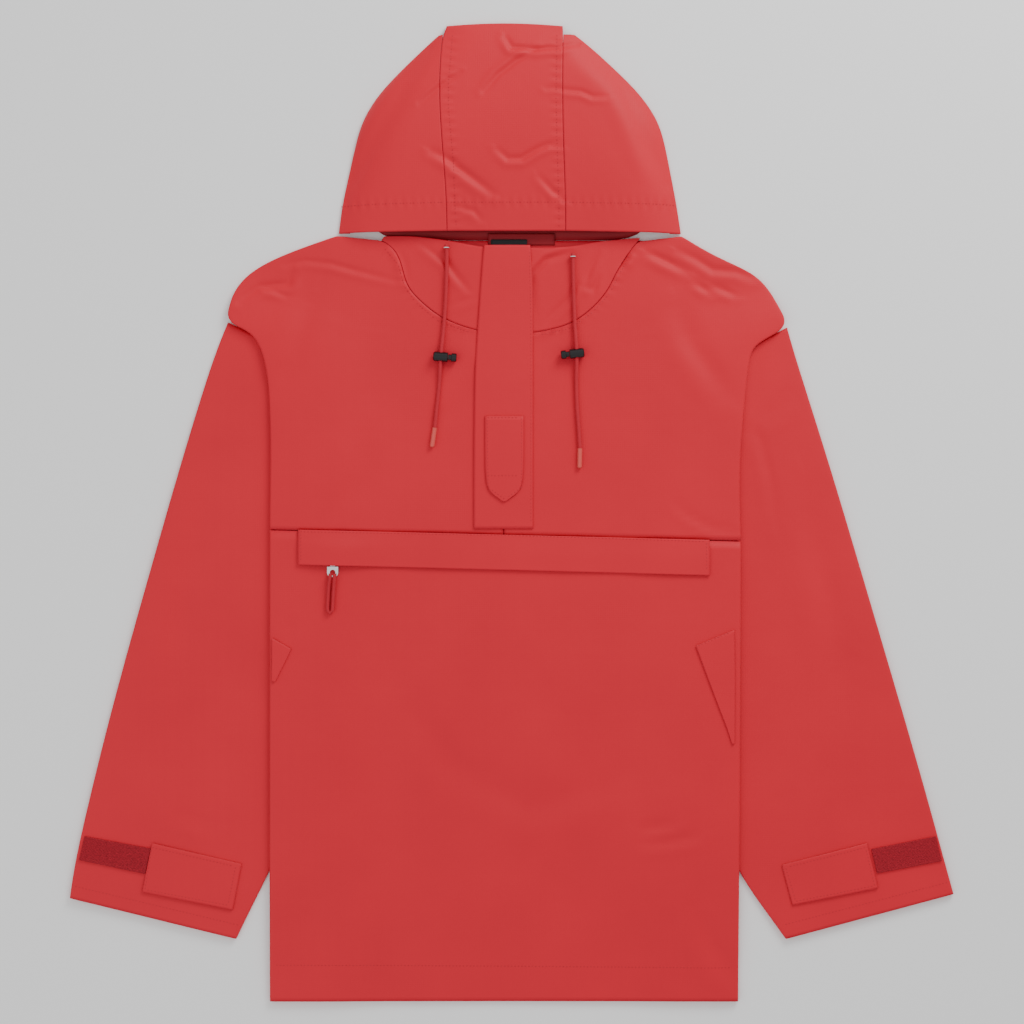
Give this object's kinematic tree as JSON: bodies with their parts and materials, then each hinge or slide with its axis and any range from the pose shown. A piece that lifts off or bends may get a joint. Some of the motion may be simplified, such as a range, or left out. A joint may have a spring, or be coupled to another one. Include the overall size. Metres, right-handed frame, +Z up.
{
  "type": "hooded pullover parka, laid flat",
  "caption": "Hooded pullover parka laid flat face up: half placket, chest flap with zip pull, drawcords with locks, cuff tabs.",
  "frame": {"origin": "on the surface the parka lies on, at the middle of its outline", "axes": "+X to the right as seen from above, +Y from the hem to the hood, +Z up out of the surface"},
  "size_m": [0.9008, 0.9965, 0.02],
  "materials": {
    "shell_cloth": "red cotton and nylon poplin, faint sheen",
    "shell_inside": "inside of the red shell cloth",
    "cord": "red braided cord",
    "cord_tip": "moulded light red plastic",
    "black_plastic": "black moulded plastic",
    "bright_metal": "bright cast zinc",
    "loop_tape": "red hook-and-loop tape, looped pile",
    "label": "plain black woven label"
  },
  "bodies": {
    "garment": {"back": "shell_cloth", "chest_flap": "shell_cloth", "cord_lock_left": "black_plastic", "cord_lock_right": "black_plastic", "cord_plunger_left": "black_plastic", "cord_plunger_right": "black_plastic", "cord_tip_left": "cord_tip", "cord_tip_right": "cord_tip", "cuff_tab_left": "shell_cloth", "cuff_tab_right": "shell_cloth", "cuff_tape_left": "loop_tape", "cuff_tape_right": "loop_tape", "drawcord_left": "cord", "drawcord_right": "cord", "eyelet_left": "bright_metal", "eyelet_right": "bright_metal", "front_lower": "shell_cloth", "front_upper_left": "shell_cloth", "front_upper_right": "shell_cloth", "hood_back": "shell_inside", "hood_centre": "shell_cloth", "hood_neck_left": "shell_cloth", "hood_neck_right": "shell_cloth", "hood_side_left": "shell_cloth", "hood_side_right": "shell_cloth", "neck_label": "label", "neck_tape": "shell_inside", "placket": "shell_cloth", "placket_tab": "shell_cloth", "pocket_welt_left": "shell_cloth", "pocket_welt_right": "shell_cloth", "sleeve_left": "shell_cloth", "sleeve_right": "shell_cloth", "zip_slider": "bright_metal"},
    "zip_pull": {"pull_tab": "bright_metal", "pull_loop": "cord"}
  },
  "joints": [
    {"name": "pull_tab_swing", "type": "hinge", "parent": "garment", "child": "zip_pull", "pos_m": [-0.1818, -0.0566, 0.0114], "axis": [-1, 0, 0], "range_deg": [0, 75]}
  ]
}
